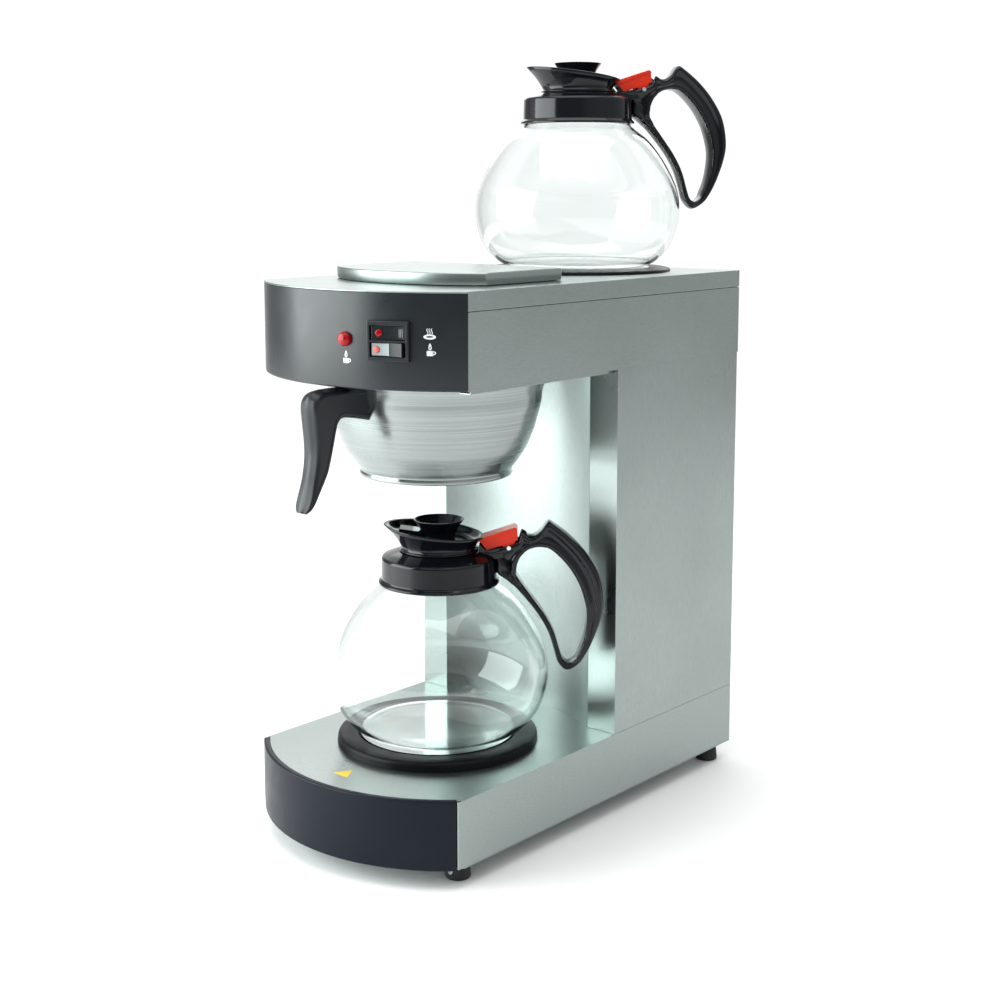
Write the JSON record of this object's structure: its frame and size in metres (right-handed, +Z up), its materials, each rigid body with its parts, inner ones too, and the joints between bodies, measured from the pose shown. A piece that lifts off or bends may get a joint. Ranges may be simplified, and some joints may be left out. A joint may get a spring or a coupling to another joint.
{
  "type": "commercial coffee brewer",
  "caption": "Pour-over coffee brewer with a steel column cabinet, black curved front, spun filter basket, warming plates and glass carafes.",
  "frame": {"origin": "centre of the cabinet footprint on the table, at the underside of the feet", "axes": "+Z up, -Y to the machine's front, +X to its right"},
  "size_m": [0.2057, 0.4196, 0.5881],
  "materials": {
    "cabinet_steel": "fine horizontal brushing",
    "pressed_steel": "pressed sheet",
    "bright_steel": "polished",
    "spun_steel": "concentric spinning marks",
    "warmer_disc_steel": "polished",
    "black_enamel": "glossy enamel",
    "element_sheath": "oxidised",
    "panel_black": "satin moulded",
    "foot_rubber": "matte",
    "silicone_hose": "translucent",
    "tank_plastic": "natural",
    "cast_aluminium": "as cast",
    "electrical_plastic": "moulded",
    "red_lens": "clear coloured",
    "carafe_glass": "clear",
    "carafe_black": "glossy moulded",
    "lever_red": "glossy moulded",
    "handle_black": "satin moulded",
    "rocker_black": "satin",
    "rocker_grey": "satin"
  },
  "bodies": {
    "machine": {"base_shell": "cabinet_steel", "base_front_fascia": "panel_black", "base_bottom_plate": "cabinet_steel", "feet": "foot_rubber", "foot_screws": "bright_steel", "column_shell": "cabinet_steel", "column_front_panel": "cabinet_steel", "column_back_panel": "cabinet_steel", "back_panel_screws": "bright_steel", "head_shell": "cabinet_steel", "head_front_panel": "panel_black", "head_bottom_plate": "cabinet_steel", "basket_rails": "cabinet_steel", "top_cover": "cabinet_steel", "fill_basin": "pressed_steel", "drain_hose": "silicone_hose", "reservoir_tank": "tank_plastic", "reservoir_lid": "tank_plastic", "check_valve": "tank_plastic", "heater_inlet_hose": "silicone_hose", "flow_heater": "cast_aluminium", "riser_tube": "silicone_hose", "spray_head": "bright_steel", "spray_nut": "bright_steel", "thermostat": "electrical_plastic", "thermal_cutout": "electrical_plastic", "terminal_block": "electrical_plastic", "cord_gland": "panel_black", "switch_bezel": "panel_black", "switch_bodies": "electrical_plastic", "lamp_lens": "red_lens", "lamp_body": "electrical_plastic", "lower_warmer_disc": "warmer_disc_steel", "lower_warmer_rim": "black_enamel", "lower_warmer_element": "element_sheath", "lower_element_clamp": "pressed_steel", "upper_warmer_disc": "warmer_disc_steel", "upper_warmer_rim": "black_enamel", "upper_warmer_element": "element_sheath", "upper_element_clamp": "pressed_steel"},
    "basket": {"brew_basket": "spun_steel", "basket_screen": "bright_steel", "basket_handle": "handle_black", "handle_screws": "bright_steel"},
    "fill_lid": {"fill_lid": "cabinet_steel"},
    "warmer_switch": {"warmer_rocker": "rocker_black"},
    "brew_switch": {"brew_rocker": "rocker_grey"},
    "lower_carafe": {"lower_carafe_glass": "carafe_glass", "lower_carafe_collar": "carafe_black", "lower_carafe_handle": "carafe_black", "lower_lid_pin": "bright_steel"},
    "lower_lid": {"lower_carafe_lid": "carafe_black", "lower_lid_lever": "lever_red"},
    "upper_carafe": {"upper_carafe_glass": "carafe_glass", "upper_carafe_collar": "carafe_black", "upper_carafe_handle": "carafe_black", "upper_lid_pin": "bright_steel"},
    "upper_lid": {"upper_carafe_lid": "carafe_black", "upper_lid_lever": "lever_red"}
  },
  "joints": [
    {"name": "basket_slide", "type": "slide", "parent": "machine", "child": "basket", "axis": [0, -1, 0], "range_m": [0, 0.2]},
    {"name": "lower_carafe_slide", "type": "slide", "parent": "machine", "child": "lower_carafe", "axis": [0, -1, 0], "range_m": [0, 0.28]},
    {"name": "upper_carafe_lift", "type": "slide", "parent": "machine", "child": "upper_carafe", "axis": [0, 0, 1], "range_m": [0, 0.15]},
    {"name": "fill_lid_lift", "type": "slide", "parent": "machine", "child": "fill_lid", "axis": [0, 0, 1], "range_m": [0, 0.08]},
    {"name": "lower_lid_hinge", "type": "hinge", "parent": "lower_carafe", "child": "lower_lid", "pos_m": [0.04098, -0.03161, 0.2169], "axis": [-0.6428, 0.766, 0], "range_deg": [0, 20]},
    {"name": "upper_lid_hinge", "type": "hinge", "parent": "upper_carafe", "child": "upper_lid", "pos_m": [0.03294, 0.14616, 0.5673], "axis": [-0.788, 0.6157, 0], "range_deg": [0, 30]},
    {"name": "warmer_switch_rock", "type": "hinge", "parent": "machine", "child": "warmer_switch", "pos_m": [0.05532, -0.1733, 0.3917], "axis": [0, 0, 1], "range_deg": [-14, 0]},
    {"name": "brew_switch_rock", "type": "hinge", "parent": "machine", "child": "brew_switch", "pos_m": [0.05532, -0.1733, 0.3803], "axis": [0, 0, 1], "range_deg": [0, 14]}
  ]
}
